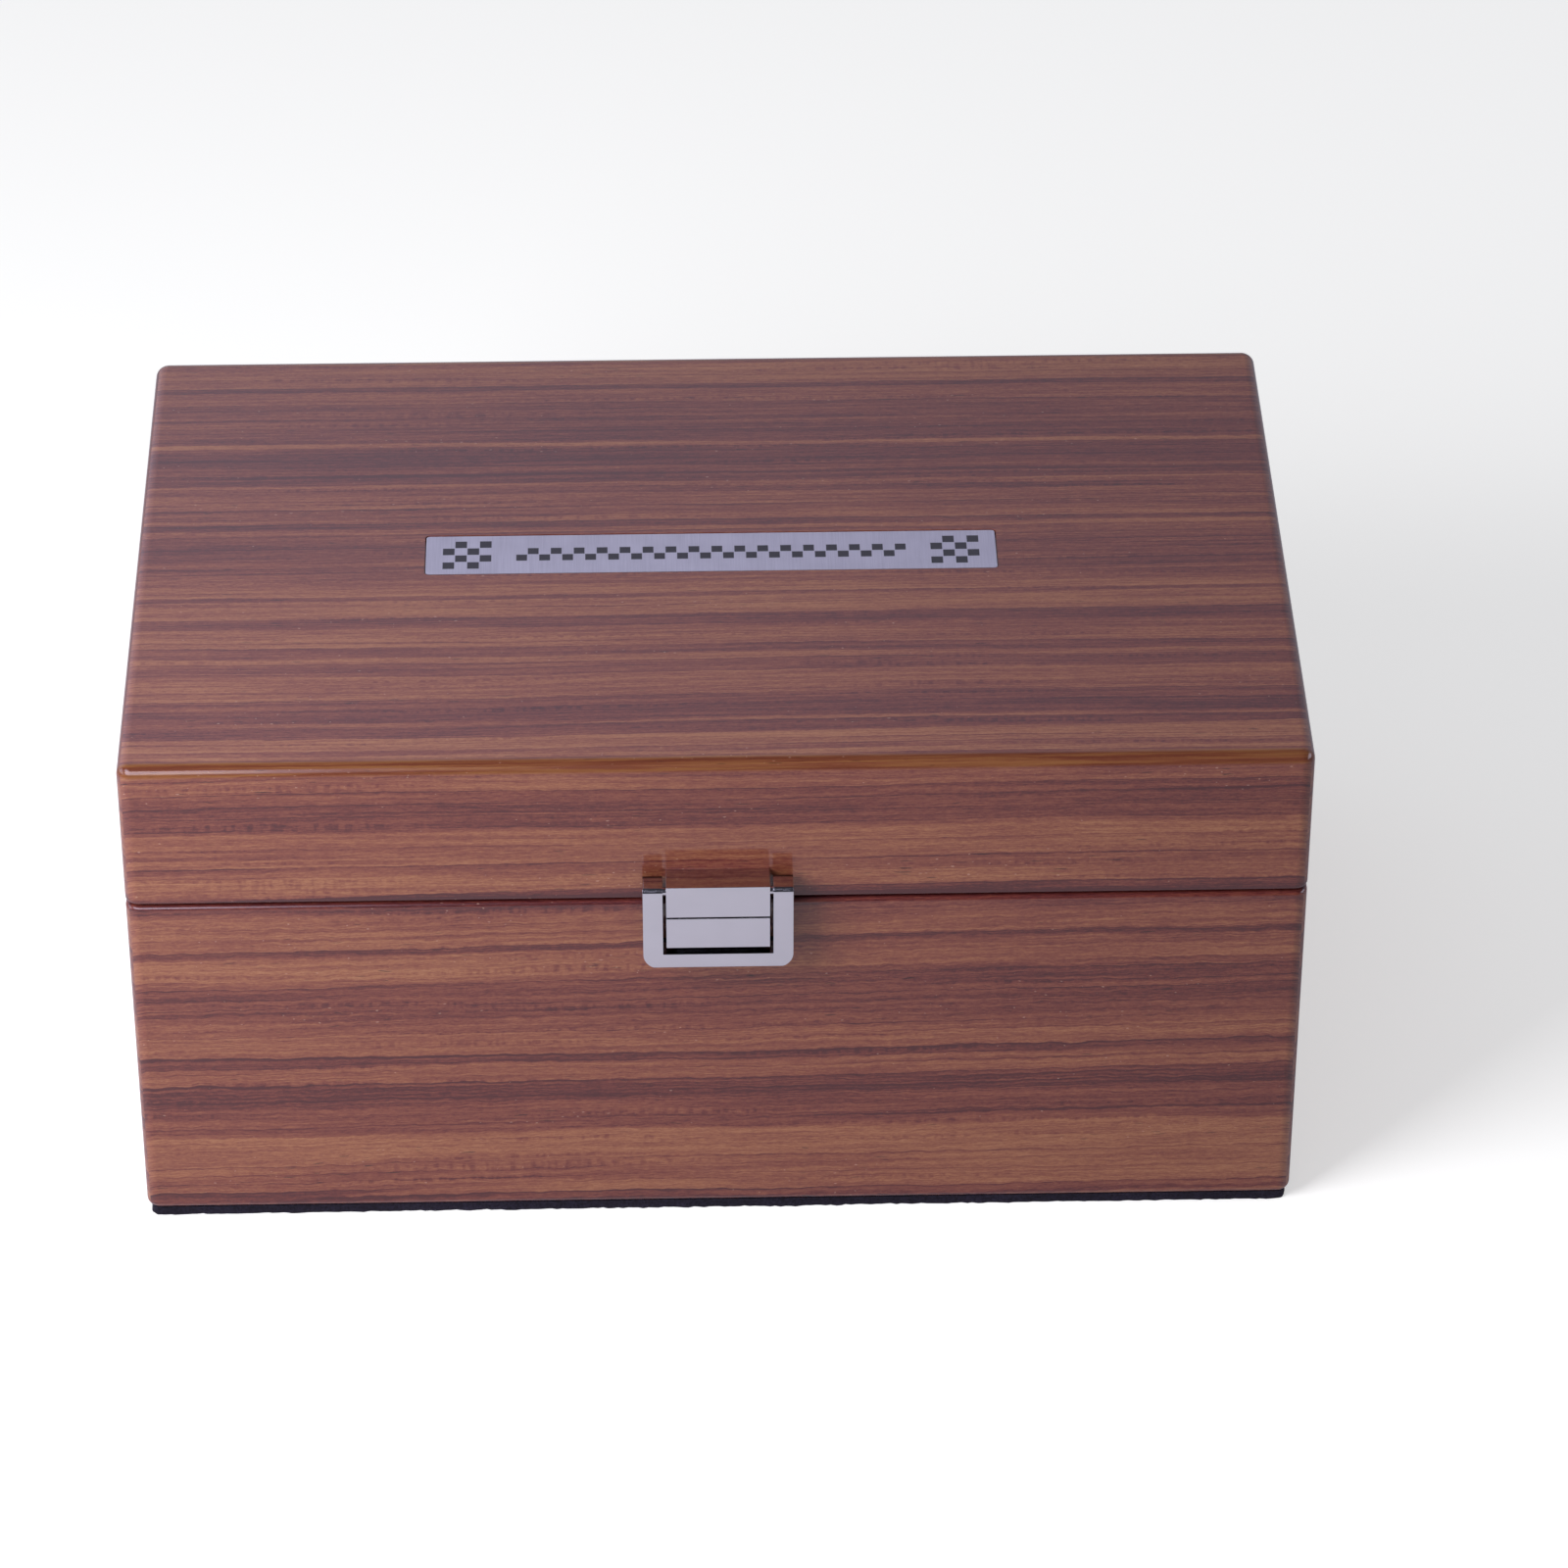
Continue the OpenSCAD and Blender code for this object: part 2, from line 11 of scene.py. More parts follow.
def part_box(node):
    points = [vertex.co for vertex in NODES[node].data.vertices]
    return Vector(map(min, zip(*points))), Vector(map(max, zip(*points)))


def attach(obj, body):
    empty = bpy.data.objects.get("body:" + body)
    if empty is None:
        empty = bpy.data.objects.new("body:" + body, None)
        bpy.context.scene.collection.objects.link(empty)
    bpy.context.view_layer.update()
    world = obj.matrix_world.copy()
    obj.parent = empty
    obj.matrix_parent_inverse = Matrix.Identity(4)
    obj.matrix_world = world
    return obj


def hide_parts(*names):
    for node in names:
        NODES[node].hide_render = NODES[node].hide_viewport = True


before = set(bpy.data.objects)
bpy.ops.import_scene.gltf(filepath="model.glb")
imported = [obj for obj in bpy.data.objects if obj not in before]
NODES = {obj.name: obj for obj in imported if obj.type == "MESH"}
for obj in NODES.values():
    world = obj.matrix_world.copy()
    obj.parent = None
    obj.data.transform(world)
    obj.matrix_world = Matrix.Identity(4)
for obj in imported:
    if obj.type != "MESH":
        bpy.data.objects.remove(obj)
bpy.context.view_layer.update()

MM = 0.001

# Radii of the polished wood, as on the solids
EDGE_R = 3 * MM
CORNER_R = 3.3 * MM
FOOT_R = 2 * MM
SEAM_R = 1.2 * MM
# Height of the cut between base and lid
SEAM_Z = (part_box("base_front")[1].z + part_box("lid_front")[0].z) / 2
# The lid's right, back and upper corner
LID_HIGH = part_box("lid_top")[1]

# Camera fitted to the photograph's edges
CAMERA_PLACE = (-0.01516, -1.29753, 1.00945)
CAMERA_TURN = (53.9267, -0.0881, -1.3954)
CAMERA_LENS = 147.09
SENSOR_WIDTH = 36

# Heights of the painted shade below and above the saw cut
SHADE_BELOW = 6 * MM
SHADE_ABOVE = 4 * MM
# How far into the rounded edge its deeper brown, a painted shade, is reached
EDGE_FADE = 1.3 * MM

# Play round the plaque, and the radius of its recess's corners
RECESS_GAP = 0.3 * MM
RECESS_R = 1.1 * MM
# Angle in degrees past which a wooden edge stays sharp
WOOD_SHARP = 50
METAL_SHARP = 30
# Two places nearer than this are the same
TINY = 1e-6


# Shader helpers

def new_material(name):
    """A material with only its output, and its tree."""
    material = bpy.data.materials.new(name)
    material.use_nodes = True
    tree = material.node_tree
    tree.nodes.clear()
    tree.nodes.new("ShaderNodeOutputMaterial")
    return material, tree


def add(tree, kind, inputs=None, **settings):
    """A node with its settings, whose inputs are values or other nodes' sockets."""
    node = tree.nodes.new(kind)
    for key, value in settings.items():
        setattr(node, key, value)
    for key, value in (inputs or {}).items():
        socket = node.inputs[key]
        if isinstance(value, bpy.types.NodeSocket):
            tree.links.new(value, socket)
        else:
            socket.default_value = value
    return node


def math_node(tree, operation, *values):
    """The result of a Math node on one to three values."""
    return add(tree, "ShaderNodeMath", dict(enumerate(values)), operation=operation).outputs[0]


def noise_node(tree, vector, detail=2.0, rough=0.5):
    """Noise from 0 to 1 at a point."""
    inputs = {"Vector": vector, "Scale": 1.0, "Detail": detail, "Roughness": rough}
    return add(tree, "ShaderNodeTexNoise", inputs).outputs["Fac"]


def mapped(tree, value, low, high, to_low=0.0, to_high=1.0):
    """A value carried smoothly from one range to another, and held at its ends."""
    inputs = {"Value": value, "From Min": low, "From Max": high, "To Min": to_low,
              "To Max": to_high}
    return add(tree, "ShaderNodeMapRange", inputs, interpolation_type="SMOOTHSTEP").outputs["Result"]


def blended(tree, factor, first, second, mode="MIX"):
    """Two colours mixed by a factor."""
    node = tree.nodes.new("ShaderNodeMix")
    node.data_type = "RGBA"
    node.blend_type = mode
    node.clamp_factor = True
    for index, value in ((0, factor), (6, first), (7, second)):
        socket = node.inputs[index]
        if isinstance(value, bpy.types.NodeSocket):
            tree.links.new(value, socket)
        else:
            socket.default_value = value
    return node.outputs[2]


def stretched(tree, vector, scale, offset=(0, 0, 0)):
    """A point scaled by axis, then shifted."""
    scaled = add(tree, "ShaderNodeVectorMath", {0: vector, 1: scale}, operation="MULTIPLY")
    inputs = {0: scaled.outputs[0], 1: offset}
    return add(tree, "ShaderNodeVectorMath", inputs, operation="ADD").outputs[0]


def finish_material(tree, shader):
    """The shader joined to the material's output."""
    output = next(n for n in tree.nodes if n.type == "OUTPUT_MATERIAL")
    tree.links.new(shader.outputs[0], output.inputs["Surface"])


def colour(red, green, blue):
    """A linear colour from sRGB values out of 255."""
    def linear(value):
        value /= 255
        return value / 12.92 if value <= 0.04045 else ((value + 0.055) / 1.055) ** 2.4
    return (linear(red), linear(green), linear(blue), 1.0)


# Materials

# The cool white of the paper round the box, as gloss shows it
LAVENDER = (0.86, 0.85, 1.05, 1)
# Wood from its palest early wood to the ink-dark line that ends a ring
WOOD_TONES = (
    (0.0, colour(156, 106, 76)),
    (0.25, colour(140, 87, 62)),
    (0.5, colour(120, 64, 50)),
    (0.75, colour(96, 42, 38)),
    (1.0, colour(68, 25, 28)),
)
# The share of the wood's colour kept on the rounded edges, as painted shade where they reflect the
# dark room instead of the pale paper
EDGE_SHADE = (0.78, 0.85, 0.6, 1)
PORE = colour(24, 11, 12)
FLECK = colour(186, 150, 134)


def ramp(tree, factor, tones):
    """A colour picked from a row of tones, each with its place from 0 to 1."""
    node = add(tree, "ShaderNodeValToRGB", {"Fac": factor})
    stops = node.color_ramp.elements
    stops[0].position, stops[0].color = tones[0]
    stops[1].position, stops[1].color = tones[-1]
    for place, tone in tones[1:-1]:
        stops.new(place).color = tone
    return node.outputs["Color"]


def sheet_noise(tree, point, along, across, seed, detail=1.0, rough=0.5):
    """Noise on a sheet of veneer: its scales are per millimetre along and across the grain."""
    moved = stretched(tree, point, (along, across, 0), (seed * 7.3, seed * 3.1, 0))
    inputs = {"Vector": moved, "Scale": 1.0, "Detail": detail, "Roughness": rough}
    return add(tree, "ShaderNodeTexNoise", inputs, noise_dimensions="2D").outputs["Fac"]


def growth_rings(tree, point, spacing, sway, widths, seed, edge):
    """Growth rings of uneven width across a sheet: a dark line on each ring's outer side, and the
    ring's own tone. edge is the line's width as a share of the ring."""
    across = add(tree, "ShaderNodeSeparateXYZ", {0: point}).outputs["Y"]
    drift = sheet_noise(tree, point, 0.0009, widths, seed, detail=1.0)
    count = math_node(tree, "MULTIPLY_ADD", drift, sway, math_node(tree, "DIVIDE", across, spacing))
    count = math_node(tree, "ADD", count, seed * 10.7)
    number = math_node(tree, "FLOOR", count)
    tone = add(tree, "ShaderNodeTexWhiteNoise", {"W": number}, noise_dimensions="1D").outputs["Value"]
    other = math_node(tree, "ADD", number, 0.5)
    depth = add(tree, "ShaderNodeTexWhiteNoise", {"W": other}, noise_dimensions="1D").outputs["Value"]
    share = math_node(tree, "FRACT", count)
    line_end = 0.97
    tail = mapped(tree, share, 1.0 - edge, line_end)
    cut = mapped(tree, share, line_end, 1.0, 1.0, 0.0)
    line = math_node(tree, "MULTIPLY", math_node(tree, "MULTIPLY", tail, tail), cut)
    fade = mapped(tree, sheet_noise(tree, point, 0.009, 0.2, seed + 3), 0.3, 0.6, 0.35, 1.0)
    line = math_node(tree, "MULTIPLY", line, fade)
    return math_node(tree, "MULTIPLY", line, mapped(tree, depth, 0.0, 0.9, 0.15, 1.0)), tone


def veneer(name, along, seed, rise=0.0, wave=0.75, ring=3.2, lies="upright"):
    """Straight-grained veneer under a clear coat. along is the axis of its grain, X or Y. rise is how
    far its stripes climb per millimetre, wave how far they waver, and ring how wide a ring is.

    The pattern is in millimetres. It goes by the distance along the grain and by height plus
    distance outwards, so that every stripe runs on over a rounded edge."""
    material, tree = new_material(name)
    place = add(tree, "ShaderNodeTexCoord").outputs["Object"]
    split = add(tree, "ShaderNodeSeparateXYZ", {0: place})
    run = split.outputs["X" if along == "X" else "Y"]
    out = split.outputs["Y" if along == "X" else "X"]
    if lies == "upright":
        out = math_node(tree, "MULTIPLY", math_node(tree, "ABSOLUTE", out), -1.0)
    run = math_node(tree, "MULTIPLY", run, 1000.0)
    layer = math_node(tree, "MULTIPLY", math_node(tree, "ADD", out, split.outputs["Z"]), 1000.0)
    layer = math_node(tree, "MULTIPLY_ADD", run, -rise, layer)
    flat = add(tree, "ShaderNodeCombineXYZ", {0: run, 1: layer}).outputs[0]

    # The slow bend of all the stripes together, and their small waver
    bend = sheet_noise(tree, flat, 0.005, 0.012, seed, detail=1.0)
    waver = sheet_noise(tree, flat, 0.035, 0.09, seed + 1, detail=2.0)
    quiver = sheet_noise(tree, flat, 0.2, 0.35, seed + 15, detail=1.0)
    layer = math_node(tree, "MULTIPLY_ADD", bend, 3.4, layer)
    layer = math_node(tree, "MULTIPLY_ADD", waver, wave, layer)
    layer = math_node(tree, "MULTIPLY_ADD", quiver, wave * 0.8, layer)
    point = add(tree, "ShaderNodeCombineXYZ", {0: run, 1: layer}).outputs[0]

    # How dark the wood is: broad zones, rings, fine rings within them, streaks and fibres
    zone = sheet_noise(tree, point, 0.0022, 0.045, seed + 2, detail=2.0)
    line, tone = growth_rings(tree, point, ring, 3.0, 0.14, seed + 3, edge=0.26)
    fine_line, fine_tone = growth_rings(tree, point, ring * 0.31, 2.4, 0.45, seed + 5, edge=0.5)
    streak = sheet_noise(tree, point, 0.02, 0.8, seed + 7, detail=2.0, rough=0.6)
    fibre = sheet_noise(tree, point, 0.22, 2.2, seed + 8, detail=2.0, rough=0.7)
    tooth = sheet_noise(tree, point, 0.8, 3.0, seed + 16, detail=2.0, rough=0.7)
    zone = mapped(tree, zone, 0.32, 0.68)
    tone = mapped(tree, tone, 0.25, 0.95)
    dark = math_node(tree, "MULTIPLY_ADD", zone, 0.14, -0.02)
    dark = math_node(tree, "MULTIPLY_ADD", tone, 0.3, dark)
    dark = math_node(tree, "MULTIPLY_ADD", line, 0.45, dark)
    busy = math_node(tree, "MULTIPLY_ADD", zone, 0.3, 0.35)
    busy = math_node(tree, "MULTIPLY_ADD", tone, 0.5, busy)
    fine = math_node(tree, "MULTIPLY", fine_tone, 0.16)
    fine = math_node(tree, "MULTIPLY_ADD", fine_line, 0.34, fine)
    dark = math_node(tree, "MULTIPLY_ADD", fine, busy, dark)
    dark = math_node(tree, "MULTIPLY_ADD", mapped(tree, streak, 0.3, 0.7), 0.22, dark)
    dark = math_node(tree, "MULTIPLY_ADD", mapped(tree, fibre, 0.28, 0.72), 0.2, dark)
    dark = math_node(tree, "MULTIPLY_ADD", mapped(tree, tooth, 0.3, 0.7), 0.16, dark)

    # Painted shade along the saw cut between base and lid: the wood is darkened on both sides, most at
    # the cut
    height = split.outputs["Z"]
    below = mapped(tree, height, SEAM_Z - SHADE_BELOW, SEAM_Z, 0.0, 0.3)
    above = mapped(tree, height, SEAM_Z, SEAM_Z + SHADE_ABOVE, 0.5, 0.0)
    on_lid = mapped(tree, height, SEAM_Z - 0.1 * MM, SEAM_Z + 0.1 * MM)
    band = add(tree, "ShaderNodeMix", {0: on_lid, 2: below, 3: above}).outputs[0]
    dark = math_node(tree, "ADD", dark, band)

    # Short marks across the grain that stand in rows, as rays do
    tick = sheet_noise(tree, point, 0.6, 0.2, seed + 9, detail=1.0)
    row = sheet_noise(tree, point, 0.008, 0.45, seed + 10, detail=1.0)
    in_row = mapped(tree, row, 0.6, 0.75)
    ticks = math_node(tree, "MULTIPLY", mapped(tree, tick, 0.42, 0.7), in_row)
    dark = math_node(tree, "MULTIPLY_ADD", ticks, 0.2, dark)

    # Painted shade: the rounded edge along the lid's front and back is one even, deeper brown, as
    # where it reflects the dark room and not the pale paper
    reach = LID_HIGH - Vector((EDGE_R, EDGE_R, EDGE_R))
    ahead = math_node(tree, "ABSOLUTE", split.outputs["Y"])
    rounded = math_node(tree, "MULTIPLY", mapped(tree, ahead, reach.y, reach.y + EDGE_FADE),
                        mapped(tree, height, reach.z, reach.z + EDGE_FADE))
    even = mapped(tree, streak, 0.3, 0.7, 0.22, 0.62)
    evened = math_node(tree, "MULTIPLY", rounded, 0.8)
    dark = add(tree, "ShaderNodeMix", {0: evened, 2: dark, 3: even}).outputs[0]
    wood = ramp(tree, dark, WOOD_TONES)
    edge_shading = math_node(tree, "MULTIPLY", rounded, 0.9)
    wood = blended(tree, edge_shading, wood, EDGE_SHADE, "MULTIPLY")

    # Open pores as short dashes, and pale specks where filler stands in them
    dash = sheet_noise(tree, point, 0.16, 2.6, seed + 11, detail=0.0)
    crowd = sheet_noise(tree, point, 0.012, 0.11, seed + 12, detail=1.0)
    limit = mapped(tree, crowd, 0.35, 0.75, 0.96, 0.81)
    pores = mapped(tree, math_node(tree, "SUBTRACT", dash, limit), 0.0, 0.05)
    wood = blended(tree, math_node(tree, "MULTIPLY", pores, 0.85), wood, PORE)
    speck = sheet_noise(tree, point, 0.8, 1.7, seed + 13, detail=0.0)
    flecks = mapped(tree, math_node(tree, "SUBTRACT", speck, limit), 0.02, 0.08)
    wood = blended(tree, math_node(tree, "MULTIPLY", flecks, 0.4), wood, FLECK)

    # Pores sink the wood, and the coat lies over it in a slow swell
    sink = math_node(tree, "MULTIPLY_ADD", pores, -1.0, math_node(tree, "MULTIPLY", fibre, 0.3))
    wood_bump = add(tree, "ShaderNodeBump", {"Height": sink, "Distance": 0.02 * MM, "Strength": 0.6})
    swell = noise_node(tree, stretched(tree, place, (60, 60, 60)), detail=1.0)
    film = math_node(tree, "MULTIPLY_ADD", fibre, 0.06, swell)
    film = math_node(tree, "MULTIPLY_ADD", pores, -0.06, film)
    coat_bump = add(tree, "ShaderNodeBump", {"Height": film, "Distance": 0.04 * MM, "Strength": 0.5})

    shader = add(tree, "ShaderNodeBsdfPrincipled", {
        "Base Color": wood, "Roughness": 0.55, "IOR": 1.3, "Specular IOR Level": 0.3,
        "Normal": wood_bump.outputs[0],
        "Coat Weight": 1.0, "Coat Roughness": 0.1, "Coat IOR": 1.5,
        "Coat Normal": coat_bump.outputs[0],
    })
    finish_material(tree, shader)
    return material


def grey(tree, value):
    """A grey colour of the given value."""
    return add(tree, "ShaderNodeCombineColor", {0: value, 1: value, 2: value}).outputs[0]


def chrome(name, shade_from):
    """Polished chrome plate with a faint haze of fine scratches; behind a plane across Y it is tinted
    dark as painted shade and made rougher.
    """
    material, tree = new_material(name)
    place = add(tree, "ShaderNodeTexCoord").outputs["Object"]
    scratch = noise_node(tree, stretched(tree, place, (900, 900, 9000)), detail=2.0)
    smear = noise_node(tree, stretched(tree, place, (120, 120, 160)), detail=2.0)
    rough = mapped(tree, math_node(tree, "MULTIPLY", scratch, smear), 0.1, 0.4, 0.06, 0.13)
    tint = blended(tree, smear, colour(192, 191, 197), colour(200, 199, 205))
    bump = add(tree, "ShaderNodeBump", {"Height": scratch, "Distance": 0.004 * MM, "Strength": 0.2})

    # What lies close to the wood is tinted dark as painted shade, standing in for the shadowed gap it
    # reflects, and made rougher
    depth = add(tree, "ShaderNodeSeparateXYZ", {0: place}).outputs["Y"]
    rear_shade = mapped(tree, depth, shade_from, shade_from + 0.7 * MM)
    tint = blended(tree, rear_shade, tint, colour(84, 72, 72))
    rough = math_node(tree, "MULTIPLY_ADD", rear_shade, 0.12, rough)
    shader = add(tree, "ShaderNodeBsdfPrincipled", {
        "Base Color": tint, "Metallic": 1.0, "Roughness": rough, "Normal": bump.outputs[0],
    })
    finish_material(tree, shader)
    return material


def brushed_plaque():
    """Pale metal brushed from front to back."""
    material, tree = new_material("plaque_metal")
    place = add(tree, "ShaderNodeTexCoord").outputs["Object"]
    hair = noise_node(tree, stretched(tree, place, (5200, 60, 400)), detail=3.0, rough=0.7)
    band = noise_node(tree, stretched(tree, place, (420, 14, 60), (3, 1, 0)), detail=2.0)
    mark = noise_node(tree, stretched(tree, place, (160, 160, 160), (9, 4, 0)), detail=3.0)
    tint = blended(tree, mapped(tree, hair, 0.2, 0.8), colour(172, 170, 186), colour(196, 194, 208))
    tint = blended(tree, math_node(tree, "MULTIPLY", mapped(tree, band, 0.3, 0.7), 0.5), tint,
                   colour(188, 186, 200))
    rough = mapped(tree, mark, 0.3, 0.7, 0.34, 0.46)
    bump = add(tree, "ShaderNodeBump", {"Height": hair, "Distance": 0.01 * MM, "Strength": 0.35})
    shader = add(tree, "ShaderNodeBsdfPrincipled", {
        "Base Color": tint, "Metallic": 0.85, "Roughness": rough, "Normal": bump.outputs[0],
    })
    finish_material(tree, shader)
    return material


def enamel():
    """Dark fill of the plaque's ornament, slightly mottled."""
    material, tree = new_material("plaque_enamel_fill")
    place = add(tree, "ShaderNodeTexCoord").outputs["Object"]
    mottle = noise_node(tree, stretched(tree, place, (900, 900, 900)), detail=3.0)
    tint = blended(tree, mottle, colour(24, 23, 32), colour(36, 35, 46))
    bump = add(tree, "ShaderNodeBump", {"Height": mottle, "Distance": 0.02 * MM, "Strength": 0.3})
    shader = add(tree, "ShaderNodeBsdfPrincipled", {
        "Base Color": tint, "Roughness": 0.42, "Normal": bump.outputs[0],
    })
    finish_material(tree, shader)
    return material


def brass(name, pale, deep, rough_low, rough_high):
    """Lacquered metal of the hinges and screws, dulled in patches."""
    material, tree = new_material(name)
    place = add(tree, "ShaderNodeTexCoord").outputs["Object"]
    patch = noise_node(tree, stretched(tree, place, (300, 300, 300)), detail=4.0, rough=0.6)
    line = noise_node(tree, stretched(tree, place, (4000, 500, 500)), detail=2.0)
    tint = blended(tree, mapped(tree, patch, 0.3, 0.7), pale, deep)
    rough = mapped(tree, patch, 0.3, 0.7, rough_low, rough_high)
    bump = add(tree, "ShaderNodeBump", {"Height": line, "Distance": 0.008 * MM, "Strength": 0.3})
    shader = add(tree, "ShaderNodeBsdfPrincipled", {
        "Base Color": tint, "Metallic": 1.0, "Roughness": rough, "Normal": bump.outputs[0],
    })
    finish_material(tree, shader)
    return material


def cloth(name, dark, light, pile, sheen):
    """Felt or velvet: a short pile that catches light at a glancing angle."""
    material, tree = new_material(name)
    place = add(tree, "ShaderNodeTexCoord").outputs["Object"]
    hair = noise_node(tree, stretched(tree, place, (pile, pile, pile)), detail=4.0, rough=0.7)
    nap = noise_node(tree, stretched(tree, place, (55, 55, 55), (2, 5, 1)), detail=3.0, rough=0.6)
    tint = blended(tree, mapped(tree, hair, 0.3, 0.7), dark, light)
    tint = blended(tree, math_node(tree, "MULTIPLY", mapped(tree, nap, 0.35, 0.65), 0.4), tint, dark)
    bump = add(tree, "ShaderNodeBump", {"Height": hair, "Distance": 0.25 * MM, "Strength": 0.6})
    shader = add(tree, "ShaderNodeBsdfPrincipled", {
        "Base Color": tint, "Roughness": 0.9, "IOR": 1.3, "Normal": bump.outputs[0],
        "Sheen Weight": sheen, "Sheen Roughness": 0.4, "Sheen Tint": light,
    })
    finish_material(tree, shader)
    return material


# Mesh helpers

def piece_from(bm, name, body, slot, material, *nodes):
    """A finished object from a bmesh, riding on its body in place of its CAD nodes."""
    bmesh.ops.recalc_face_normals(bm, faces=bm.faces[:])
    mesh = bpy.data.meshes.new(name)
    bm.to_mesh(mesh)
    bm.free()
    mesh.materials.append(material)
    piece = bpy.data.objects.new(name, mesh)
    bpy.context.scene.collection.objects.link(piece)
    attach(piece, body)
    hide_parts(*nodes)
    return piece


def smooth_faces(piece, angle):
    """Smooth faces that break only where they meet at more than the angle, in degrees."""
    mesh = piece.data
    mesh.polygons.foreach_set("use_smooth", [True] * len(mesh.polygons))
    mesh.set_sharp_from_angle(angle=math.radians(angle))


def let_flat_lead(piece):
    """Normals that follow the large flat faces."""
    weight = piece.modifiers.new("flat faces lead", "WEIGHTED_NORMAL")
    weight.keep_sharp = True
    weight.weight = 100


def box_mesh(low, high):
    """A bmesh of the box between two corners."""
    bm = bmesh.new()
    size = Vector(high) - Vector(low)
    centre = (Vector(high) + Vector(low)) / 2
    matrix = Matrix.Translation(centre) @ Matrix.Diagonal((*size, 1))
    bmesh.ops.create_cube(bm, size=1, matrix=matrix)
    return bm


def bevel_edges(bm, edges, radius, segments):
    """The edges rounded to a radius."""
    bmesh.ops.bevel(bm, geom=edges, offset=radius, offset_type="OFFSET", segments=segments,
                    profile=0.5, affect="EDGES", clamp_overlap=False, material=-1)


def edges_at(bm, height):
    """The edges that lie all along a height."""
    return [e for e in bm.edges if all(abs(v.co.z - height) < TINY for v in e.verts)]


def upright_edges(bm):
    """The edges that run along Z."""
    return [e for e in bm.edges if (e.verts[0].co - e.verts[1].co).xy.length < TINY]


def keep_below(bm, point, normal):
    """What lies past a plane cut away, and the cut closed."""
    geom = bm.verts[:] + bm.edges[:] + bm.faces[:]
    cut = bmesh.ops.bisect_plane(bm, geom=geom, plane_co=point, plane_no=normal, clear_outer=True)
    rim = [g for g in cut["geom_cut"] if isinstance(g, bmesh.types.BMEdge)]
    bmesh.ops.edgeloop_fill(bm, edges=rim)


# Wood

def outline(prefix):
    """Corners of the base's or lid's wooden outline."""
    boxes = [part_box(n) for n in NODES if n.startswith(prefix) and n.split("_")[1] in
             ("front", "back", "left", "right", "top") and not n.endswith("lining")]
    low = Vector(min(b[0][i] for b in boxes) for i in range(3))
    high = Vector(max(b[1][i] for b in boxes) for i in range(3))
    return low, high


def rounded_outline(prefix):
    """The base or lid as one solid block with polished edges."""
    low, high = outline(prefix)
    foot_r, top_r = (FOOT_R, SEAM_R) if prefix == "base" else (SEAM_R, EDGE_R)
    bm = box_mesh(low, high)
    bevel_edges(bm, upright_edges(bm), CORNER_R, 10)
    bevel_edges(bm, edges_at(bm, high.z), top_r, 8)
    bevel_edges(bm, edges_at(bm, low.z), foot_r, 5)
    return bm, low, high


def board(node, material):
    """One board, cut out of the rounded outline by its inner face and its mitres."""
    prefix, side = node.split("_")
    bm, low, high = rounded_outline(prefix)
    thick = wall_thickness()
    outward = {"front": Vector((0, -1, 0)), "back": Vector((0, 1, 0)), "left": Vector((-1, 0, 0)),
               "right": Vector((1, 0, 0)), "top": Vector((0, 0, 1))}
    neighbours = [s for s in outward if abs(outward[s].dot(outward[side])) < 0.5]
    if prefix == "base":
        neighbours.remove("top")
    out = outward[side]
    face = high if out.x + out.y + out.z > 0 else low
    keep_below(bm, face - thick * out, -out)
    for other in neighbours:
        corner = Vector((0, 0, 0))
        for axis, way in ((out, face), (outward[other], high if max(outward[other]) > 0 else low)):
            index = max(range(3), key=lambda i: abs(axis[i]))
            corner[index] = way[index]
        keep_below(bm, corner, outward[other] - out)
    piece = piece_from(bm, node + "_board", prefix, "veneered_wood", material, node)
    smooth_faces(piece, WOOD_SHARP)
    let_flat_lead(piece)
    return piece


def wall_thickness():
    """Thickness of the walls, read from the lid's front."""
    low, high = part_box("lid_front")
    return high.y - low.y


def top_board(material):
    """The lid's top board with the recess of the plaque."""
    piece = board("lid_top", material)
    low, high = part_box("plaque")
    reach = Vector((RECESS_GAP, RECESS_GAP, 0))
    cutter_bm = box_mesh(low - reach, high + reach + Vector((0, 0, 5 * MM)))
    bevel_edges(cutter_bm, upright_edges(cutter_bm), RECESS_R, 5)
    mesh = bpy.data.meshes.new("recess")
    cutter_bm.to_mesh(mesh)
    cutter_bm.free()
    cutter = bpy.data.objects.new("recess", mesh)
    bpy.context.scene.collection.objects.link(cutter)
    cut = piece.modifiers.new("recess", "BOOLEAN")
    cut.object = cutter
    cut.operation = "DIFFERENCE"
    cut.solver = "EXACT"
    piece.modifiers.move(len(piece.modifiers) - 1, 0)
    apply_modifier(piece, cut)
    bpy.data.objects.remove(cutter)
    piece.data.set_sharp_from_angle(angle=math.radians(WOOD_SHARP))
    return piece


def apply_modifier(piece, modifier):
    """The modifier worked into the mesh, with the others left live."""
    others = [m for m in piece.modifiers if m != modifier]
    for other in others:
        other.show_viewport = False
    graph = bpy.context.evaluated_depsgraph_get()
    mesh = bpy.data.meshes.new_from_object(piece.evaluated_get(graph))
    piece.modifiers.remove(modifier)
    piece.data = mesh
    for other in others:
        other.show_viewport = True


def divider_board(material):
    """The divider, with its long edges eased."""
    bm = box_mesh(*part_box("divider"))
    bevel_edges(bm, edges_at(bm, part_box("divider")[1].z), 1.2 * MM, 4)
    piece = piece_from(bm, "divider_board", "base", "divider_wood", material, "divider")
    smooth_faces(piece, WOOD_SHARP)
    let_flat_lead(piece)
    return piece


# Metal

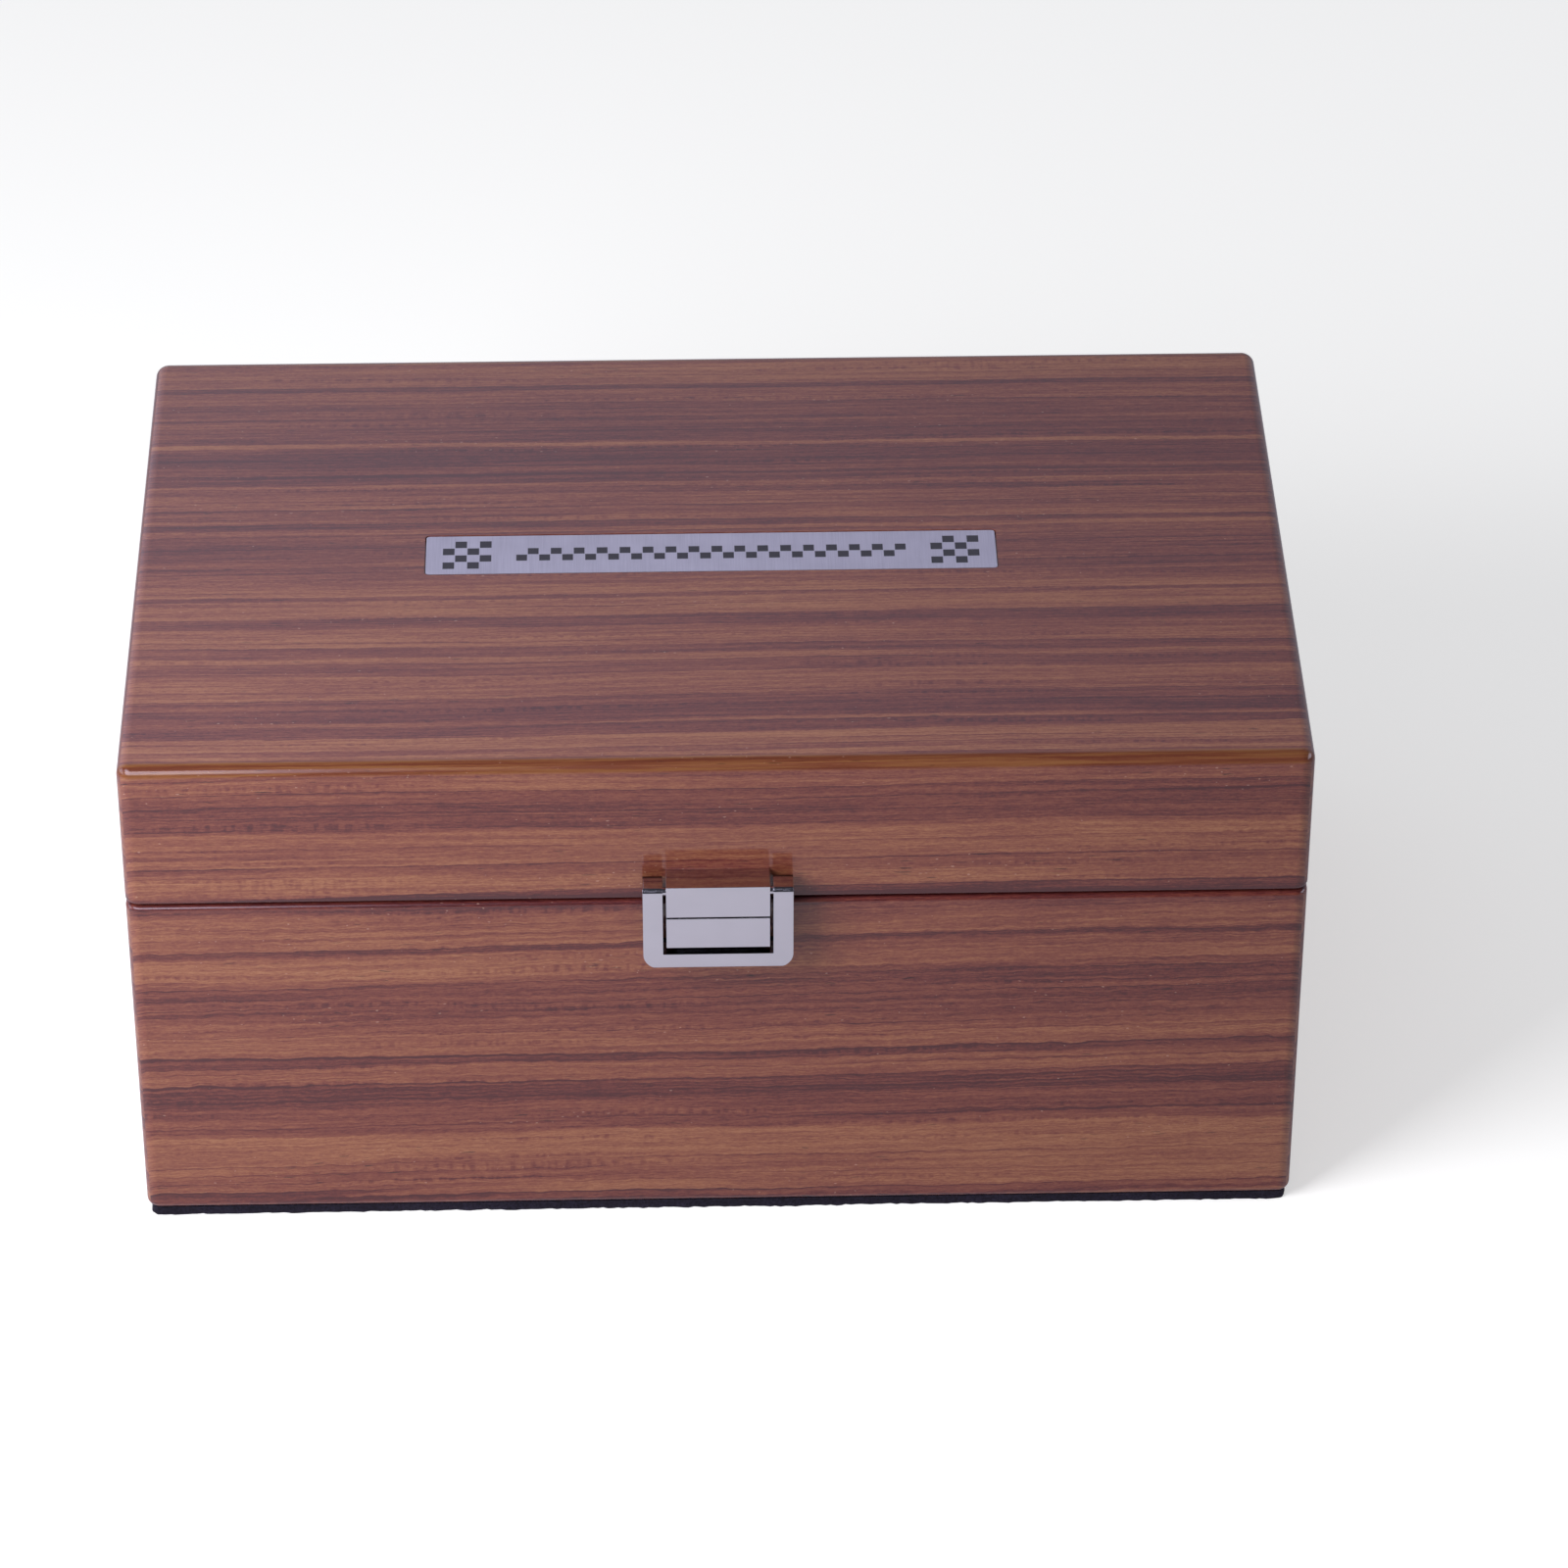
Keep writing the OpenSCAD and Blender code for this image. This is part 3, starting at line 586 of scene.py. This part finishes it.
def dressed(node, body, slot, material, ease):
    """A copy of a metal solid whose sharp edges are eased a little, so that they catch the light."""
    bm = bmesh.new()
    bm.from_mesh(NODES[node].data)
    bmesh.ops.remove_doubles(bm, verts=bm.verts[:], dist=TINY)
    flat = math.radians(0.5)
    bmesh.ops.dissolve_limit(bm, angle_limit=flat, verts=bm.verts[:], edges=bm.edges[:])
    piece = piece_from(bm, node + "_metal", body, slot, material, node)
    smooth_faces(piece, METAL_SHARP)
    bevel = piece.modifiers.new("eased edges", "BEVEL")
    bevel.width = ease
    bevel.segments = 3
    bevel.limit_method = "ANGLE"
    bevel.angle_limit = math.radians(METAL_SHARP)
    bevel.use_clamp_overlap = True
    let_flat_lead(piece)
    return piece


# Cloth

def velvet_panel(node, body, material, crown_axis, crown):
    """A lining panel wrapped in velvet: full in its middle and drawn in along its edges."""
    low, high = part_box(node)
    size = high - low
    bm = box_mesh(low, high)
    short_cuts = 2
    for axis in range(3):
        edges = [e for e in bm.edges if abs((e.verts[0].co - e.verts[1].co)[axis]) > size[axis] * 0.5]
        cuts = short_cuts if axis == crown_axis[0] else min(60, max(4, int(size[axis] / (4 * MM))))
        bmesh.ops.subdivide_edges(bm, edges=edges, cuts=cuts, use_grid_fill=True)
    axis, side = crown_axis
    flat = [i for i in range(3) if i != axis]
    for vert in bm.verts:
        share = [(vert.co[i] - low[i]) / size[i] * 2 - 1 for i in flat]
        edge = max(abs(s) for s in share)
        drop = sum(abs(s) ** 14 for s in share) / 2 + 0.2 * sum(s * s for s in share) / 2
        ruffle = noise.noise(vert.co * 90) * 0.25 + noise.noise(vert.co * 260) * 0.1
        depth = (vert.co[axis] - low[axis]) / size[axis]
        depth = depth if side > 0 else 1 - depth
        move = crown * (min(drop, 1) + ruffle * (1 - edge ** 6) * 0.4 + 0.05) * depth
        vert.co[axis] -= side * min(max(move, 0), size[axis] * 0.45)
    piece = piece_from(bm, node + "_velvet", body, "velvet", material, node)
    piece.data.polygons.foreach_set("use_smooth", [True] * len(piece.data.polygons))
    return piece


def felt_foot(material):
    """The felt under the base, with a hairy, uneven cut edge."""
    low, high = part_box("base_felt")
    bm = box_mesh(low, high)
    bevel_edges(bm, upright_edges(bm), CORNER_R - 1 * MM, 6)
    long_edges = [e for e in bm.edges if e.calc_length() > 20 * MM]
    bmesh.ops.subdivide_edges(bm, edges=long_edges, cuts=219)
    upright = upright_edges(bm)
    bmesh.ops.subdivide_edges(bm, edges=upright, cuts=3)
    bmesh.ops.triangulate(bm, faces=[f for f in bm.faces if len(f.verts) > 4])
    height = high.z - low.z
    for vert in bm.verts:
        if vert.co.z > high.z - 0.01 * MM:
            continue
        out = Vector((vert.co.x, vert.co.y, 0)).normalized()
        share = 1 - (vert.co.z - low.z) / height
        tuft = noise.noise(vert.co * 700) * 0.5 + noise.noise(vert.co * 150) * 0.4
        vert.co += out * tuft * share * MM
    piece = piece_from(bm, "base_felt_sheet", "base", "felt", material, "base_felt")
    return piece


# Stage

def floor():
    """A pale floor that shows as white paper and keeps the box's shadow."""
    bm = bmesh.new()
    bmesh.ops.create_grid(bm, x_segments=1, y_segments=1, size=4.0)
    mesh = bpy.data.meshes.new("floor")
    bm.to_mesh(mesh)
    bm.free()
    material, tree = new_material("floor")
    path = add(tree, "ShaderNodeLightPath")
    paper = add(tree, "ShaderNodeBsdfDiffuse", {"Color": (0.86, 0.86, 0.87, 1)})
    glow = add(tree, "ShaderNodeEmission", {"Color": (1, 1, 1, 1), "Strength": 0.45})
    lit = add(tree, "ShaderNodeAddShader", {0: paper.outputs[0], 1: glow.outputs[0]})
    tinted = add(tree, "ShaderNodeBsdfDiffuse", {"Color": (0.78, 0.76, 0.86, 1)})
    other = add(tree, "ShaderNodeMixShader", {
        0: path.outputs["Is Glossy Ray"], 1: paper.outputs[0], 2: tinted.outputs[0],
    })
    seen = add(tree, "ShaderNodeMixShader", {
        0: path.outputs["Is Camera Ray"], 1: other.outputs[0], 2: lit.outputs[0],
    })
    finish_material(tree, seen)
    mesh.materials.append(material)
    piece = bpy.data.objects.new("floor", mesh)
    bpy.context.scene.collection.objects.link(piece)


def surroundings():
    """White for the camera; for gloss, a pale backdrop behind the box, a dark room in front of it,
    a tall soft box at the left and white boards at both sides."""
    world = bpy.data.worlds.new("studio")
    bpy.context.scene.world = world
    world.use_nodes = True
    tree = world.node_tree
    tree.nodes.clear()
    path = add(tree, "ShaderNodeLightPath")
    way = add(tree, "ShaderNodeTexCoord").outputs["Generated"]
    lean = add(tree, "ShaderNodeVectorMath", {0: way, 1: (0.0, 0.7, -0.7)}, operation="DOT_PRODUCT")
    split = add(tree, "ShaderNodeSeparateXYZ", {0: way})
    side, back, up = split.outputs["X"], split.outputs["Y"], split.outputs["Z"]
    sweep = mapped(tree, lean.outputs["Value"], -0.34, -0.02, 0.05, 0.84)
    fall = mapped(tree, side, -0.14, 0.14, 1.35, 0.62)
    sweep = math_node(tree, "MULTIPLY", sweep, fall)
    tinted = blended(tree, 1.0, grey(tree, sweep), LAVENDER, "MULTIPLY")

    # The tall soft box beside the camera, and white boards at both sides
    under_top = mapped(tree, up, 0.8, 0.95, 1.0, 0.0)
    tall = math_node(tree, "MULTIPLY", mapped(tree, up, 0.28, 0.5), under_top)
    tall = math_node(tree, "MULTIPLY", tall, mapped(tree, back, -0.3, -0.05, 1.0, 0.0))
    left = math_node(tree, "MULTIPLY", mapped(tree, side, -0.08, -0.045, 8.0, 0.0),
                     mapped(tree, side, -0.75, -0.55))
    beside = math_node(tree, "ABSOLUTE", side)
    wings = mapped(tree, beside, 0.75, 0.9, 0.0, 4.0)
    wings = math_node(tree, "MULTIPLY", wings, mapped(tree, up, 0.1, 0.25))
    wings = math_node(tree, "MULTIPLY", wings, mapped(tree, back, 0.1, 0.4, 1.0, 0.0))
    boxes = grey(tree, math_node(tree, "MULTIPLY_ADD", tall, left, wings))
    boxes = blended(tree, 1.0, boxes, LAVENDER, "MULTIPLY")
    tinted = blended(tree, 1.0, tinted, boxes, "ADD")
    gloss = add(tree, "ShaderNodeBackground", {"Color": tinted, "Strength": 1.0})
    soft = add(tree, "ShaderNodeBackground", {"Color": (0.97, 0.98, 1.0, 1), "Strength": 0.36})
    white = add(tree, "ShaderNodeBackground", {"Color": (1, 1, 1, 1), "Strength": 1.0})
    dull = add(tree, "ShaderNodeMixShader", {
        0: path.outputs["Is Glossy Ray"], 1: soft.outputs[0], 2: gloss.outputs[0],
    })
    seen = add(tree, "ShaderNodeMixShader", {
        0: path.outputs["Is Camera Ray"], 1: dull.outputs[0], 2: white.outputs[0],
    })
    output = tree.nodes.new("ShaderNodeOutputWorld")
    tree.links.new(seen.outputs[0], output.inputs["Surface"])


def lamp(name, place, target, size, power):
    """A soft square lamp that points at a target."""
    light = bpy.data.lights.new(name, "AREA")
    light.shape = "SQUARE"
    light.size = size
    light.energy = power
    lamp_object = bpy.data.objects.new(name, light)
    lamp_object.location = place
    lamp_object.visible_glossy = False
    way = Vector(target) - Vector(place)
    lamp_object.rotation_euler = way.to_track_quat("-Z", "Y").to_euler()
    bpy.context.scene.collection.objects.link(lamp_object)


def camera():
    """The photograph's view."""
    data = bpy.data.cameras.new("camera")
    data.lens = CAMERA_LENS
    data.sensor_width = SENSOR_WIDTH
    data.clip_end = 20
    viewer = bpy.data.objects.new("camera", data)
    viewer.location = CAMERA_PLACE
    viewer.rotation_euler = [math.radians(a) for a in CAMERA_TURN]
    bpy.context.scene.collection.objects.link(viewer)
    bpy.context.scene.camera = viewer


# The box

camera()
surroundings()
floor()
lamp("key", (-0.45, -0.4, 0.48), (-0.04, 0, 0.06), 0.4, 5.1)

lid_long = veneer("veneer_lid_front", "X", seed=4, rise=0.004, wave=0.6, ring=3.9)
lid_short = veneer("veneer_lid_side", "Y", seed=11)
base_long = veneer("veneer_base_front", "X", seed=23, rise=0.016, wave=1.2, ring=3.2)
base_short = veneer("veneer_base_side", "Y", seed=31)
lid_flat = veneer("veneer_lid_top", "X", seed=40, rise=0.002, wave=0.6, ring=2.9, lies="flat")
for side in ("front", "back"):
    board("lid_" + side, lid_long)
    board("base_" + side, base_long)
for side in ("left", "right"):
    board("lid_" + side, lid_short)
    board("base_" + side, base_short)
top_board(lid_flat)
NODES["base_bottom"].data.materials.clear()
NODES["base_bottom"].data.materials.append(lid_flat)
divider_board(base_short)

front_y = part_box("lid_front")[0].y
# Both chromes get painted shade behind a plane near the wood; the lever's plane lies 3 mm in front of
# the lid's face
bright = chrome("latch_chrome", front_y)
lever_shaded = chrome("lever_chrome", front_y - 3 * MM)
steel = brass("screw_steel", colour(168, 168, 172), colour(140, 140, 146), 0.25, 0.4)
gold = brass("hinge_brass", colour(214, 180, 112), colour(190, 150, 86), 0.16, 0.34)
for name, body in (("latch_lid_block", "lid"), ("latch_base_block", "base"),
                   ("latch_lever", "latch_lever"), ("latch_pivot_pins", "lid")):
    lever = name == "latch_lever"
    dressed(name, body, "latch_chrome", lever_shaded if lever else bright, (0.5 if lever else 0.3) * MM)
for name, body in (("latch_lid_screws", "lid"), ("latch_base_screws", "base")):
    dressed(name, body, "screw_steel", steel, 0.08 * MM)
for side in ("left", "right"):
    dressed(f"hinge_{side}_base_leaf", "base", "hinge_brass", gold, 0.15 * MM)
    dressed(f"hinge_{side}_lid_leaf", "lid", "hinge_brass", gold, 0.15 * MM)
    dressed(f"hinge_{side}_pin", "base", "hinge_brass", gold, 0.12 * MM)
dressed("hinge_base_screws", "base", "hinge_brass", gold, 0.06 * MM)
dressed("hinge_lid_screws", "lid", "hinge_brass", gold, 0.06 * MM)

for name, material in (("plaque", brushed_plaque()), ("plaque_enamel", enamel())):
    NODES[name].data.materials.clear()
    NODES[name].data.materials.append(material)

velvet = cloth("velvet", colour(20, 22, 34), colour(44, 48, 70), 2600, 0.6)
felt = cloth("felt", colour(18, 15, 22), colour(44, 40, 56), 1800, 0.3)
felt_foot(felt)
velvet_panel("base_floor_lining", "base", velvet, (2, 1), 0.8 * MM)
velvet_panel("lid_pad", "lid", velvet, (2, -1), 2.2 * MM)
for body in ("base", "lid"):
    for side, way in (("front", (1, 1)), ("back", (1, -1)), ("left", (0, 1)), ("right", (0, -1))):
        velvet_panel(f"{body}_{side}_lining", body, velvet, way, 0.7 * MM)

bpy.context.scene.view_settings.view_transform = "Standard"
